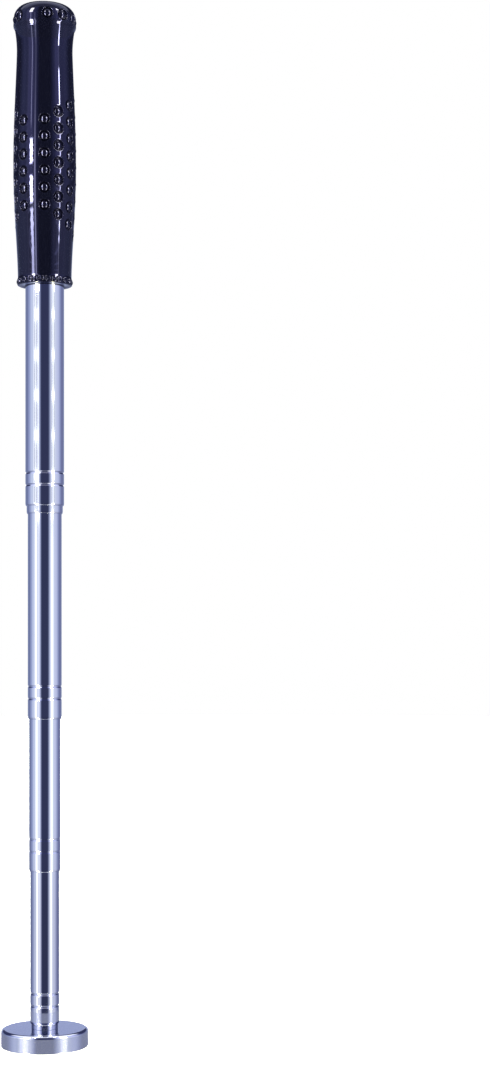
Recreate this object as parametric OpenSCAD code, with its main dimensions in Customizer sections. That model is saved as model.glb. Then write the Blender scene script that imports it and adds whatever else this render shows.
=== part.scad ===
// Telescopic magnetic pick-up tool, standing on its magnet with all four sections drawn out.
// Millimetres. The origin is the centre of the magnet's flat underside, and +Z runs up the tubes
// to the grip. Everything is round about Z except the two-part friction shells, the split lock
// washer and the screw's hexagon socket. Tube 1 is the widest and carries the grip; tube 4 is the
// thinnest and carries the magnet.

/* [Magnet head] */
// Outside diameter of the steel magnet cup
cup_d = 36; // [30:0.5:42]
// Height of the magnet cup
cup_h = 7.3; // [6.5:0.1:8]
// Radius of the rounded upper edge of the cup
cup_edge_r = 1.3; // [0.6:0.1:2]
// Thickness of the cup's side wall
cup_wall = 2.6; // [1.5:0.1:4]
// Thickness of the cup's upper plate
cup_plate = 2.2; // [1.8:0.1:2.6]
// Diameter of the hole through the ring magnet
magnet_hole_d = 10.4; // [10:0.1:11.4]
// Width of the cast resin ring between magnet and cup
resin_w = 1.9; // [1:0.1:3]
// Nominal thread diameter of the centre screw
screw_d = 5; // [4:0.5:5]
// Diameter of the collar between cup and tube 4
collar_d = 11; // [10.6:0.1:11.6]
// Height of the collar
collar_h = 1.8; // [0.8:0.1:2.4]

/* [Tubes] */
// Outside diameter of tube 1, the widest
tube_1_d = 16; // [16:0.1:16.3]
// Outside diameter of tube 2
tube_2_d = 14; // [13.9:0.05:14]
// Outside diameter of tube 3
tube_3_d = 13; // [12.95:0.05:13]
// Outside diameter of tube 4, the thinnest
tube_4_d = 12; // [11.95:0.05:12]
// Wall of tubes 1 and 4
thick_wall = 0.4; // [0.35:0.05:0.4]
// Wall of tubes 2 and 3
thin_wall = 0.3; // [0.25:0.05:0.3]
// Length of tube 1 that shows between its mouth and the grip
show_1 = 94.5; // [60:0.5:110]
// Length of tube 2 that shows when it is drawn out
show_2 = 85; // [84:0.5:90]
// Length of tube 3 that shows when it is drawn out
show_3 = 63.1; // [63.1:0.1:66]
// Length of tube 4 that shows when it is drawn out
show_4 = 63.4; // [62:0.1:66]
// Travel of tube 1 over tube 2
travel_2 = 80.5; // [70:0.5:80.5]
// Travel of tube 2 over tube 3
travel_3 = 59; // [50:0.5:59]
// Travel of tube 3 over tube 4
travel_4 = 58.5; // [50:0.5:58.5]

/* [Rolled grooves] */
// Width of a rolled groove
groove_w = 1.3; // [1:0.1:1.6]
// Distance between the two grooves of a pair
groove_pitch = 5.1; // [4:0.1:6]
// Depth of the grooves in tube 1
groove_1 = 0.36; // [0.2:0.02:0.4]
// Depth of the grooves in tube 2
groove_2 = 0.24; // [0.14:0.02:0.26]
// Depth of the grooves in tube 3
groove_3 = 0.15; // [0.12:0.01:0.2]
// Depth of the grooves in tube 4
groove_4 = 0.34; // [0.2:0.02:0.4]

/* [Grip] */
// Length of the grip
grip_h = 116.8; // [112:0.2:124]
// Largest radius of the grip's belly
belly_r = 12.95; // [12:0.05:14]
// Radius of the waist under the pommel
waist_r = 11.5; // [10.8:0.05:12]
// Largest radius of the pommel
pommel_r = 12.95; // [12:0.05:14]
// Radius just above the lower rim
foot_r = 11.1; // [10.5:0.05:11.5]
// Radius of the lower rim
rim_r = 11.6; // [11.2:0.05:12]
// Height of the lower rim
rim_h = 3.2; // [2:0.1:5]

/* [Fits] */
// Radial clearance of the sliding fits
slide_gap = 0.07; // [0.05:0.01:0.09]
// Radial clearance between pieces that are pressed or rolled together
seat_gap = 0.02; // [0.01:0.01:0.03]
// Clearance left between a piece and the end stop it runs up to
stop_gap = 0.15; // [0.1:0.05:0.3]

/* [Hidden] */
$fn = 96;

// Radii of the tubes, outside and inside
r1 = tube_1_d / 2;
r2 = tube_2_d / 2;
r3 = tube_3_d / 2;
r4 = tube_4_d / 2;
b1 = r1 - thick_wall;
b2 = r2 - thin_wall;
b3 = r3 - thin_wall;
b4 = r4 - thick_wall;

// Heights of the lower ends, with the sections drawn out
foot_z = cup_h + collar_h;
mouth_3 = foot_z + show_4;
mouth_2 = mouth_3 + show_3;
mouth_1 = mouth_2 + show_2;
grip_z = mouth_1 + show_1;
grip_top = grip_z + grip_h;

// Heights of the groove pairs above the lower end of their own tube
low_groove_1 = 11.8;
low_groove_2 = 8.4;
low_groove_3 = 8.2;
low_groove_4 = 7.8;
groove_steps = 12;
function pair(base, low) = [base + low, base + low + groove_pitch];
function pair_top(base, low) = base + low + groove_pitch + groove_w / 2;

// Drawn-down tails of tubes 3 and 4, which carry the friction shells
step_h = 0.2;
tail_3_r = r3 - 0.25;
tail_4_r = r4 - 0.25;
tail_3_bore = tail_3_r - thin_wall;
tail_4_bore = tail_4_r - thick_wall;
shell_3_z = pair_top(mouth_2, low_groove_2) + stop_gap;
shell_4_z = pair_top(mouth_3, low_groove_3) + stop_gap;
shell_3_h = 5;
shell_4_h = 4.4;
axial_gap = 0.05;
lip_h = 1;
lip_3_r = r3 - 0.08;
lip_4_r = tail_3_bore - slide_gap - 0.02;
tail_3_top = shell_3_z + shell_3_h + axial_gap + lip_h;
tail_4_top = shell_4_z + shell_4_h + axial_gap + lip_h;

// Mouth bush in tube 1 and the tail plug that tube 2 ends in
neck_h = 3.2;
swage_h = 4.4;
bush_z = mouth_1 + swage_h + 0.2;
bush_top = mouth_1 + 19.5;
bush_bore_r = r2 + slide_gap;
flange_r = b1 - 0.2;
flange_h = 1;
cap_flange_h = 1.3;
spindle_r = r2;
shell_2_h = 6;
plug_seat_z = bush_top + stop_gap;
shell_2_z = plug_seat_z + flange_h + axial_gap;
plug_top = shell_2_z + shell_2_h + axial_gap + cap_flange_h;
plug_foot_z = tail_3_top + travel_3 + stop_gap;
plug_groove_z = plug_seat_z - 6;
plug_groove_d = 0.25;
vent_r = 1.5;

// Stop groove in tube 1, hidden under the grip, and the tube's upper end
stop_groove_w = 1.6;
stop_groove_d = 0.5;
stop_groove_z = plug_top + travel_2 + stop_gap + stop_groove_w / 2;
tube_1_top = grip_top - 7;
end_plug_h = 15;
end_cap_h = 1.2;

// Split in each pair of friction shells
split_w = 0.5;

// Centre of the magnet
resin_r = cup_d / 2 - cup_wall;
magnet_r = resin_r - resin_w;
magnet_hole_r = magnet_hole_d / 2;
cavity_h = cup_h - cup_plate;
sleeve_wall = 0.5;
screw_r = screw_d / 2;
screw_head_r = 4.4;
washer_h = 1;
screw_head_h = 3;
screw_tip_z = foot_z + 13;
insert_top = foot_z + 19;
insert_r = b4 - seat_gap;
spigot_r = 4.7;
curl_h = 1.3;

function reverse(points) = [for (i = [len(points) - 1:-1:0]) points[i]];

// Points up a wall of radius r past the rolled grooves centred at the heights in mids
function rolled(r, depth, mids, w) = [
  for (m = mids) for (i = [0:groove_steps])
    [r - depth * (1 - cos(360 * i / groove_steps)) / 2, m - w / 2 + w * i / groove_steps]
];

// Points of a quarter ellipse from (r - in, z) up to (r, z + up)
function curl(r, z, in, up) = [
  for (i = [0:6]) [r - in + in * sin(15 * i), z + up - up * cos(15 * i)]
];

// A wall turned from its outside points and its inside points, both listed upwards
module turned(outside, inside) {
  rotate_extrude() polygon(concat(outside, reverse(inside)));
}

// A flat ring from z up to z + h
module ring(z, h, inner, outer) {
  translate([0, 0, z]) rotate_extrude() translate([inner, 0]) square([outer - inner, h]);
}

// Everything on one side of the plane X = 0, less half of the split
module half_space(side) {
  translate([side > 0 ? split_w / 2 : -split_w / 2 - 40, -20, 0]) cube([40, 40, 500]);
}

// One of the two half-round spring shells that sit between a tube's tail and the next bore
module friction_shell(side, z, h, inner, outer) {
  lead = 0.06;
  intersection() {
    rotate_extrude() polygon([
      [inner, z], [outer - lead, z], [outer, z + h * 0.35],
      [outer, z + h * 0.65], [outer - lead, z + h], [inner, z + h]
    ]);
    half_space(side);
  }
}

// Pressed and chromed steel pot
module magnet_cup() {
  color("silver") rotate_extrude() polygon(concat(
    [[resin_r, 0], [cup_d / 2 - 0.3, 0], [cup_d / 2, 0.3]],
    [for (i = [0:10]) [
      cup_d / 2 - cup_edge_r + cup_edge_r * cos(9 * i),
      cup_h - cup_edge_r + cup_edge_r * sin(9 * i)
    ]],
    [[screw_r + 0.1, cup_h], [screw_r + 0.1, cavity_h], [resin_r, cavity_h]]
  ));
}

module ring_magnet() {
  color("dimgray") ring(0.1, cavity_h - 0.1, magnet_hole_r, magnet_r - seat_gap);
}

module resin_ring() {
  color("black") ring(0.1, cavity_h - 0.1, magnet_r, resin_r - seat_gap);
}

// Thin sleeve that keeps the screw clear of the magnet
module centring_sleeve() {
  color("goldenrod") ring(
    0.3, cavity_h - 0.3, magnet_hole_r - seat_gap - sleeve_wall, magnet_hole_r - seat_gap
  );
}

// Pan-head screw, put in from the magnet's face
module centre_screw() {
  head_top = cavity_h - washer_h;
  head_z = head_top - screw_head_h;
  socket_across_corners = 4.6;
  color("gray") difference() {
    union() {
      rotate_extrude() polygon([
        [0, head_z], [screw_head_r - 0.6, head_z], [screw_head_r, head_z + 0.7],
        [screw_head_r, head_top], [0, head_top]
      ]);
      translate([0, 0, head_top - 1]) cylinder(r = screw_r - seat_gap, h = screw_tip_z - head_top + 1);
    }
    translate([0, 0, head_z - 1]) cylinder(d = socket_across_corners, h = 2.8, $fn = 6);
  }
}

// Split spring washer under the screw's head
module lock_washer() {
  color("gray") difference() {
    ring(cavity_h - washer_h, washer_h, screw_r + 0.1, screw_head_r - 0.1);
    translate([0, -0.4, cavity_h - washer_h - 0.5]) cube([10, 0.8, washer_h + 1]);
  }
}

// Turned collar between the cup and the end of tube 4
module collar() {
  color("silver") ring(cup_h, collar_h, screw_r + 0.1, collar_d / 2);
}

// Threaded steel plug that the two grooves of tube 4 are rolled into
module foot_insert() {
  color("gray") turned(
    concat(
      [[spigot_r, foot_z], [spigot_r, foot_z + 1.3], [insert_r, foot_z + curl_h + 0.9]],
      rolled(insert_r, groove_4, pair(foot_z, low_groove_4), groove_w),
      [[insert_r, insert_top - 0.5], [insert_r - 0.5, insert_top]]
    ),
    [[screw_r, foot_z], [screw_r, insert_top]]
  );
}

module tube_4() {
  color("lightsteelblue") turned(
    concat(
      curl(r4, foot_z, 0.8, curl_h),
      rolled(r4, groove_4, pair(foot_z, low_groove_4), groove_w),
      [[r4, shell_4_z - axial_gap - step_h], [tail_4_r, shell_4_z - axial_gap]],
      [[tail_4_r, tail_4_top - lip_h], [lip_4_r, tail_4_top - lip_h], [lip_4_r, tail_4_top]]
    ),
    concat(
      curl(b4, foot_z, 0.8, curl_h + 0.2),
      rolled(b4, groove_4 - 0.04, pair(foot_z, low_groove_4), groove_w),
      [[b4, shell_4_z - axial_gap - step_h], [tail_4_bore, shell_4_z - axial_gap]],
      [[tail_4_bore, tail_4_top]]
    )
  );
}

module friction_shell_4(side) {
  color("goldenrod") friction_shell(side, shell_4_z, shell_4_h, tail_4_r + 0.04, b3 - slide_gap);
}

module friction_shell_4_left() { friction_shell_4(-1); }
module friction_shell_4_right() { friction_shell_4(1); }

// Tubes 2 and 3 run straight on the next tube at their mouth and at their two grooves
module tube_3() {
  mouth_bore = r4 + slide_gap;
  color("lightsteelblue") turned(
    concat(
      curl(r3, mouth_3, 0.32, 1),
      rolled(r3, groove_3, pair(mouth_3, low_groove_3), groove_w),
      [[r3, shell_3_z - axial_gap - step_h], [tail_3_r, shell_3_z - axial_gap]],
      [[tail_3_r, tail_3_top - lip_h], [lip_3_r, tail_3_top - lip_h], [lip_3_r, tail_3_top]]
    ),
    concat(
      [[mouth_bore, mouth_3], [mouth_bore, mouth_3 + 0.6], [b3, mouth_3 + 1.2]],
      rolled(b3, b3 - mouth_bore, pair(mouth_3, low_groove_3), groove_w),
      [[b3, shell_3_z - axial_gap - step_h], [tail_3_bore, shell_3_z - axial_gap]],
      [[tail_3_bore, tail_3_top]]
    )
  );
}

module friction_shell_3(side) {
  color("goldenrod") friction_shell(side, shell_3_z, shell_3_h, tail_3_r + 0.04, b2 - slide_gap);
}

module friction_shell_3_left() { friction_shell_3(-1); }
module friction_shell_3_right() { friction_shell_3(1); }

module tube_2() {
  mouth_bore = r3 + slide_gap;
  color("lightsteelblue") turned(
    concat(
      curl(r2, mouth_2, 0.32, 1),
      rolled(r2, groove_2, pair(mouth_2, low_groove_2), groove_w),
      rolled(r2, plug_groove_d, [plug_groove_z], groove_w),
      [[r2, plug_seat_z]]
    ),
    concat(
      [[mouth_bore, mouth_2], [mouth_bore, mouth_2 + 0.6], [b2, mouth_2 + 1.2]],
      rolled(b2, b2 - mouth_bore, pair(mouth_2, low_groove_2), groove_w),
      rolled(b2, plug_groove_d, [plug_groove_z], groove_w),
      [[b2, plug_seat_z]]
    )
  );
}

// Nylon plug in the tail of tube 2: its flanges hold the friction shells and are the end stops
module tail_plug() {
  body_r = b2 - seat_gap;
  color("ivory") turned(
    concat(
      [[body_r - 0.6, plug_foot_z], [body_r, plug_foot_z + 0.6]],
      rolled(body_r, plug_groove_d, [plug_groove_z], groove_w),
      [[body_r, plug_seat_z], [flange_r, plug_seat_z]],
      [[flange_r, plug_seat_z + flange_h], [spindle_r, plug_seat_z + flange_h]],
      [[spindle_r, plug_top - cap_flange_h], [flange_r, plug_top - cap_flange_h]],
      [[flange_r, plug_top - 0.5], [flange_r - 0.5, plug_top]]
    ),
    [[vent_r, plug_foot_z], [vent_r, plug_top]]
  );
}

module friction_shell_2(side) {
  color("goldenrod") friction_shell(side, shell_2_z, shell_2_h, spindle_r + 0.04, b1 - slide_gap);
}

module friction_shell_2_left() { friction_shell_2(-1); }
module friction_shell_2_right() { friction_shell_2(1); }

// Widest tube, necked down in two steps at its mouth
module tube_1() {
  neck_r = 7.48;
  neck_bore = r2 + slide_gap;
  color("lightsteelblue") turned(
    concat(
      curl(neck_r, mouth_1, 0.3, 1.1),
      curl(r1, mouth_1 + neck_h, r1 - neck_r, 1),
      rolled(r1, groove_1, pair(mouth_1, low_groove_1), groove_w),
      rolled(r1, stop_groove_d, [stop_groove_z], stop_groove_w),
      [[r1, tube_1_top]]
    ),
    concat(
      [[neck_bore, mouth_1], [neck_bore, mouth_1 + neck_h + 0.2], [b1, mouth_1 + swage_h]],
      rolled(b1, groove_1 - 0.06, pair(mouth_1, low_groove_1), groove_w),
      rolled(b1, stop_groove_d, [stop_groove_z], stop_groove_w),
      [[b1, tube_1_top]]
    )
  );
}

// Nylon bush that fills the gap between tubes 1 and 2, held by the rolled grooves
module mouth_bush() {
  outer = b1 - seat_gap;
  color("ivory") turned(
    concat(
      [[outer - 0.2, bush_z], [outer, bush_z + 0.2]],
      rolled(outer, groove_1 - 0.06, pair(mouth_1, low_groove_1), groove_w),
      [[outer, bush_top]]
    ),
    [[bush_bore_r, bush_z], [bush_bore_r, bush_top]]
  );
}

// Plastic plug that closes the upper end of tube 1 inside the grip
module tube_end_plug() {
  color("black") rotate_extrude() polygon([
    [0, tube_1_top - end_plug_h], [b1 - seat_gap - 0.8, tube_1_top - end_plug_h],
    [b1 - seat_gap, tube_1_top - end_plug_h + 1.5], [b1 - seat_gap, tube_1_top],
    [r1, tube_1_top], [r1, tube_1_top + end_cap_h - 0.4], [r1 - 0.4, tube_1_top + end_cap_h],
    [0, tube_1_top + end_cap_h]
  ]);
}

// Heights of the grip's stations above its lower end
belly_h = 49;
waist_h = 96.9;
flare_h = 105.2;
cap_h = 107.4;
shoulder_h = 109.9;
flare_r = waist_r + 0.7;

// Radius of the grip's side at height h: a hollow foot, the belly, the waist and the flare
function side_r(h) =
  h < belly_h ? foot_r + (belly_r - foot_r) * pow(sin(90 * (h - rim_h) / (belly_h - rim_h)), 1.5)
  : h < waist_h ? waist_r + (belly_r - waist_r) * pow(sin(90 * (waist_h - h) / (waist_h - belly_h)), 1.25)
  : waist_r + (flare_r - waist_r) * pow((h - waist_h) / (flare_h - waist_h), 2);

// Soft moulded sleeve, closed at the top by a domed pommel
module grip_sleeve() {
  bore_r = r1 + seat_gap;
  bore_top = tube_1_top + end_cap_h + 0.1 - grip_z;
  edge_in = 5.3;
  edge_up = 5.9;
  last = 84;
  edge_r = pommel_r - edge_in + edge_in * cos(last);
  edge_h = shoulder_h + edge_up * sin(last);
  outside = concat(
    [[bore_r + 0.3, 0], [rim_r - 0.8, 0], [rim_r - 0.2, 0.4], [rim_r, 1]],
    [[rim_r, rim_h - 0.9], [rim_r - 0.15, rim_h - 0.3], [foot_r, rim_h]],
    [for (h = [rim_h + 2:2:flare_h]) [side_r(h), h]],
    [for (i = [0:6]) [
      flare_r + (pommel_r - flare_r) * (1 - cos(30 * i)) / 2, flare_h + (cap_h - flare_h) * i / 6
    ]],
    [for (i = [0:12]) let (a = i * last / 12)
      [pommel_r - edge_in + edge_in * cos(a), shoulder_h + edge_up * sin(a)]],
    [for (i = [1:6]) let (r = edge_r * (1 - i / 6))
      [r, edge_h + (grip_h - edge_h) * (1 - pow(r / edge_r, 2))]]
  );
  color([0.09, 0.1, 0.17]) translate([0, 0, grip_z]) rotate_extrude() polygon(concat(
    outside, [[0, bore_top], [bore_r, bore_top], [bore_r, 0.3]]
  ));
}

magnet_cup();
ring_magnet();
resin_ring();
centring_sleeve();
centre_screw();
lock_washer();
collar();
foot_insert();
tube_4();
friction_shell_4_left();
friction_shell_4_right();
tube_3();
friction_shell_3_left();
friction_shell_3_right();
tube_2();
tail_plug();
friction_shell_2_left();
friction_shell_2_right();
tube_1();
mouth_bush();
tube_end_plug();
grip_sleeve();
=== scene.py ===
# %% [markdown]
# # A telescopic magnetic pick-up tool
#
# The tool is a rod for fetching dropped steel parts. It has a magnet at its foot, four chromed
# tubes that slide into each other, and a soft vinyl grip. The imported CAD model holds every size
# and every joint. This file makes what is seen: fine meshes, finishes, light and camera.

# %% Load the frame
import math

import bpy
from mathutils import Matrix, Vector


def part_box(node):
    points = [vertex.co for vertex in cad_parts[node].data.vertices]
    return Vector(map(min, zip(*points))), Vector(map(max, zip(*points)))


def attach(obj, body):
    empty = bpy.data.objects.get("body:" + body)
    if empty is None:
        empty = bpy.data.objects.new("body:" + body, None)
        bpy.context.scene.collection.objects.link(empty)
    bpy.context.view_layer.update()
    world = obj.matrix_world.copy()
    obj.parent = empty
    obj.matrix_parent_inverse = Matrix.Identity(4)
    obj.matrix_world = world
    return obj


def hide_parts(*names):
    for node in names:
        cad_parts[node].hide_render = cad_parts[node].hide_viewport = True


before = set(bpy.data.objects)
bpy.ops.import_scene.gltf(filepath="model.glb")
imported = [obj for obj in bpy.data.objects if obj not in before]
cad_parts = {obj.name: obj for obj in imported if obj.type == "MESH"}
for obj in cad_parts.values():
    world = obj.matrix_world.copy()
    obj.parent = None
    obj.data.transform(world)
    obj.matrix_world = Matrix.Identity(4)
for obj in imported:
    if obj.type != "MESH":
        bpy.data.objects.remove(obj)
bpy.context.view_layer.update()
MM = 0.001

# %% [markdown]
# ## The camera
#
# The tool is seen from a little over 80 cm away, and the camera is level, 174 mm above the
# table. It stands to the tool's right and looks straight ahead, so the tool is left of the
# middle. The picture is framed with the lens shift and not by tilting, which keeps the tubes
# upright, as an architect's camera does.

# %% Camera
CAMERA_PLACE = Vector((83.1, -817.6, 174)) * MM
LENS = 66.6
LENS_SHIFT = 0.088
NEAREST_SEEN = 50 * MM
camera = bpy.data.cameras.new("camera")
camera.lens = LENS
camera.shift_y = LENS_SHIFT
camera.clip_start = NEAREST_SEEN
camera_object = bpy.data.objects.new("camera", camera)
bpy.context.scene.collection.objects.link(camera_object)
camera_object.location = CAMERA_PLACE
camera_object.rotation_euler = (math.pi / 2, 0, 0)
bpy.context.scene.camera = camera_object
bpy.context.scene.view_settings.view_transform = "Standard"
view_azimuth = math.atan2(CAMERA_PLACE.x, -CAMERA_PLACE.y)
print("the camera stands", round(math.degrees(view_azimuth), 1), "degrees to the tool's right")

# %% [markdown]
# ## Wiring nodes
#
# Light and finishes are node trees. By hand they are wired in the editor. Five short helpers do
# the same here, so that a tree reads as one line for each node.

# %% Node helpers
def node(tree, kind, sockets=None, **settings):
    """A new node. Sockets are given by name or number, each as a value or as a link's start."""
    made = tree.nodes.new(kind)
    for key, value in settings.items():
        setattr(made, key, value)
    for key, value in (sockets or {}).items():
        if isinstance(value, bpy.types.NodeSocket):
            tree.links.new(value, made.inputs[key])
        else:
            made.inputs[key].default_value = value
    return made


def maths(tree, operation, *values):
    """The output of a Math node."""
    return node(tree, "ShaderNodeMath", dict(enumerate(values)), operation=operation).outputs[0]


def blend_colours(tree, share, first, second, blend_type="MIX"):
    """The colour that is share of the way from first to second."""
    sockets = {0: share, 6: first, 7: second}
    return node(tree, "ShaderNodeMix", sockets, data_type="RGBA", blend_type=blend_type).outputs[2]


def steps_between(tree, value, low, high):
    """0 below low and 1 above high, with a soft change between."""
    sockets = {"Value": value, "From Min": low, "From Max": high}
    return node(tree, "ShaderNodeMapRange", sockets, interpolation_type="SMOOTHSTEP").outputs[0]


def ramp(tree, factor, stops):
    """A colour ramp; each stop is (position, colour)."""
    made = node(tree, "ShaderNodeValToRGB", {"Fac": factor})
    elements = made.color_ramp.elements
    while len(elements) > 1:
        elements.remove(elements[0])
    elements[0].position = stops[0][0]
    elements[0].color = (*stops[0][1], 1)
    for position, colour in stops[1:]:
        elements.new(position).color = (*colour, 1)
    return made.outputs[0]


print("node helpers ready")

# %% [markdown]
# ## The light tent
#
# Chrome has no colour of its own: it shows the room. So the light is built round the tool as a
# studio's light tent. In front is a dark gap where the camera looks in. Tall white panels stand
# on both sides of it, the walls beyond are bluish, and a soft box hangs above and behind. Area
# lights could stand for the panels, but a tent in the world shader reflects the same along the
# whole length of a tube. Azimuths are in degrees from the camera, positive to the right. The
# colour ramp holds values up to 1, so the walls are divided by a scale and multiplied again.

# %% Walls and panels of the tent
GAP = (0.037, 0.043, 0.10)
WALLS = [
    (-180, (0.40, 0.46, 0.72)), (-150, (0.22, 0.26, 0.42)), (-128, (0.17, 0.20, 0.36)),
    (-112, (0.29, 0.33, 0.56)), (-100, (0.40, 0.46, 0.70)), (-86, (0.66, 0.72, 0.92)),
    (-77, (0.60, 0.67, 0.86)), (-72, (0.90, 0.94, 1.05)), (-67, (1.5, 1.55, 1.7)),
    (-56, (1.5, 1.55, 1.7)), (-53, (0.75, 0.79, 0.92)), (-49, (0.75, 0.79, 0.92)),
    (-46, (0.98, 1.02, 1.16)), (-37, (0.84, 0.88, 1.06)), (-31, (0.46, 0.50, 0.72)),
    (-24, (0.10, 0.12, 0.22)), (-20, GAP), (20, GAP),
    (25, (0.10, 0.12, 0.22)), (32, (0.40, 0.44, 0.62)), (38, (0.74, 0.78, 0.94)),
    (47, (1.3, 1.35, 1.5)), (58, (1.4, 1.45, 1.6)), (63, (0.76, 0.82, 0.96)),
    (74, (0.66, 0.70, 0.90)), (88, (0.58, 0.62, 0.86)), (98, (0.42, 0.46, 0.68)),
    (108, (0.26, 0.30, 0.52)), (124, (0.17, 0.18, 0.34)), (150, (0.22, 0.26, 0.42)),
    (180, (0.40, 0.46, 0.72)),
]
WALL_SCALE = 2.0

world = bpy.data.worlds.new("light tent")
bpy.context.scene.world = world
world.use_nodes = True
tent = world.node_tree
tent.nodes.clear()
direction = node(tent, "ShaderNodeTexCoord").outputs["Generated"]
turned = node(tent, "ShaderNodeVectorRotate", {"Vector": direction, "Angle": -view_azimuth},
              rotation_type="Z_AXIS").outputs[0]
parts = node(tent, "ShaderNodeSeparateXYZ", {0: turned})
across, away, up = parts.outputs
azimuth = maths(tent, "DEGREES", maths(tent, "ARCTAN2", across, maths(tent, "MULTIPLY", away, -1)))
height = maths(tent, "DEGREES", maths(tent, "ARCSINE", up))
over = maths(tent, "DEGREES", maths(tent, "ARCTAN2", up, maths(tent, "MULTIPLY", away, -1)))
share = maths(tent, "MULTIPLY_ADD", azimuth, 1 / 360, 0.5)
stops = [(0.5 + a / 360, [v / WALL_SCALE for v in colour]) for a, colour in WALLS]
walls = ramp(tent, share, stops)
walls = node(tent, "ShaderNodeVectorMath", {0: walls, "Scale": WALL_SCALE},
             operation="SCALE").outputs[0]
print(len(WALLS), "stops round the tent")

# %% [markdown]
# The light on the panels changes with the height, which is given in degrees above the horizon.
# Tube 1 mirrors what lies just above it. Rows of small lamps hang there, which are the sparks on
# that tube: they stand at equal steps, so a cosine of the height repeats them. The grip mirrors
# what is higher, two panels of cloth. Strong strips above and below draw a crescent on either
# side of each dot of the grip. The cup's flat top mirrors a patch of sky low in the back.

# %% Lamps and soft box
LAMP_STEP = 1.15
LAMP_FIRST = 3.2
LAMP_SHAPE = (0.72, 1.0)
# heights: (lowest, highest, softness of the ends)
LAMP_ROWS = (2.8, 9.3, 0.2)
TUBE_1_SEES = (3.0, 9.85, 0.6)
GRIP_SEES = (9.85, 60, 0.2)
STRIP_HEIGHTS = [(-45, -17, 0.5), (21.5, 46, 0.5)]
SKY_HEIGHTS = (10.2, 12.6, 0.3)

DIM_LIGHT = (0.70, 0.73, 0.84)
LINE_LIGHT = (1.3, 1.35, 1.5)
SPARK_LIGHT = (2.6, 2.7, 2.9)
CLOTH_LIGHT = (1.5, 1.5, 1.7)
STRIP_LIGHT = (60, 58, 34)
GRIP_TINT = (0.95, 0.95, 1.15)
DARK_BACK = (0.04, 0.045, 0.11)
CUP_SKY = (0.38, 0.43, 0.68)
BOX_EDGE_LIGHT = (0.5, 0.5, 0.62)
BOX_LIGHT = (1.25, 1.3, 1.5)
LOW_TINT = (0.92, 0.90, 0.88)

# each panel or lamp is (light, left azimuth, right azimuth, softness of its edges)
TUBE_PANELS = [
    (DIM_LIGHT, -69, -45, 2), (DIM_LIGHT, 38, 64, 2), (LINE_LIGHT, -59, -55.5, 0.7),
    (LINE_LIGHT, -39.5, -36, 0.7), (LINE_LIGHT, 48, 54, 1),
]
SPARK_ROWS = [(SPARK_LIGHT, -66, -36, 3), (SPARK_LIGHT, 42, 61, 3)]
GRIP_PANELS = [(CLOTH_LIGHT, -64, -45, 2), (CLOTH_LIGHT, 43, 61, 2)]
STRIPS = [(STRIP_LIGHT, -59, -46, 1.5), (STRIP_LIGHT, 49, 61, 1.5)]

# where one light fades into another: (start, end), in degrees
BACK_BESIDE = (90, 125)
BACK_ABOVE = (10, 12)
SKY_BESIDE = (158, 170)
LOW_FADE = (-5, -9)
# the soft box: angles over the tool from the front, and where its ends fade out, as a sine
BOX_EDGE_ANGLES = (62, 86, 4)
BOX_ANGLES = (86, 125, 4)
BOX_ENDS = (0.8, 0.6)


def band(value, low, high, soft):
    """1 where value is between low and high, 0 outside, with soft ends."""
    rising = steps_between(tent, value, low - soft, low + soft)
    falling = steps_between(tent, value, high + soft, high - soft)
    return maths(tent, "MULTIPLY", rising, falling)


def hang(seen, light, *masks):
    """Adds a light to the tent where all its masks are 1."""
    mask = masks[0]
    for other in masks[1:]:
        mask = maths(tent, "MULTIPLY", mask, other)
    return blend_colours(tent, mask, seen, (*light, 1))


def hang_all(seen, panels, *masks):
    """Adds panels that share their masks."""
    for light, left, right, soft in panels:
        seen = hang(seen, light, band(azimuth, left, right, soft), *masks)
    return seen


phase = maths(tent, "MULTIPLY", maths(tent, "SUBTRACT", height, LAMP_FIRST), 2 * math.pi / LAMP_STEP)
row = steps_between(tent, maths(tent, "COSINE", phase), *LAMP_SHAPE)
beside = maths(tent, "ABSOLUTE", azimuth)
on_tube_1 = band(height, *TUBE_1_SEES)
on_grip = band(height, *GRIP_SEES)
lit = hang_all(walls, TUBE_PANELS, on_tube_1)
lit = hang_all(lit, SPARK_ROWS, row, band(height, *LAMP_ROWS))
lit = hang_all(lit, GRIP_PANELS, on_grip)
lit = blend_colours(tent, on_grip, lit, (*GRIP_TINT, 1), "MULTIPLY")
lit = hang(lit, DARK_BACK, steps_between(tent, beside, *BACK_BESIDE),
           steps_between(tent, height, *BACK_ABOVE))
lit = hang(lit, CUP_SKY, steps_between(tent, beside, *SKY_BESIDE), band(height, *SKY_HEIGHTS))
for heights in STRIP_HEIGHTS:
    lit = hang_all(lit, STRIPS, band(height, *heights))

narrow = steps_between(tent, maths(tent, "ABSOLUTE", across), *BOX_ENDS)
lit = hang(lit, BOX_EDGE_LIGHT, band(over, *BOX_EDGE_ANGLES), narrow)
lit = hang(lit, BOX_LIGHT, band(over, *BOX_ANGLES), narrow)
lit = blend_colours(tent, steps_between(tent, height, *LOW_FADE), lit, (*LOW_TINT, 1), "MULTIPLY")
camera_ray = node(tent, "ShaderNodeLightPath").outputs["Is Camera Ray"]
seen = blend_colours(tent, camera_ray, lit, (1, 1, 1, 1))
background = node(tent, "ShaderNodeBackground", {"Color": seen})
node(tent, "ShaderNodeOutputWorld", {"Surface": background.outputs[0]})
print("lamps every", LAMP_STEP, "degrees,", len(tent.nodes), "nodes in the tent")

# %% [markdown]
# ## The floor
#
# The floor is a white sheet. It glows a little, as paper on a light table does, so only the
# contact shadow stays visible. What the chrome sees of it is another matter: the real stand is a
# small pale glossy plate in a dark studio. So the sheet is left out of the reflections, and a
# round plate that only reflections see takes its place.

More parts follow.
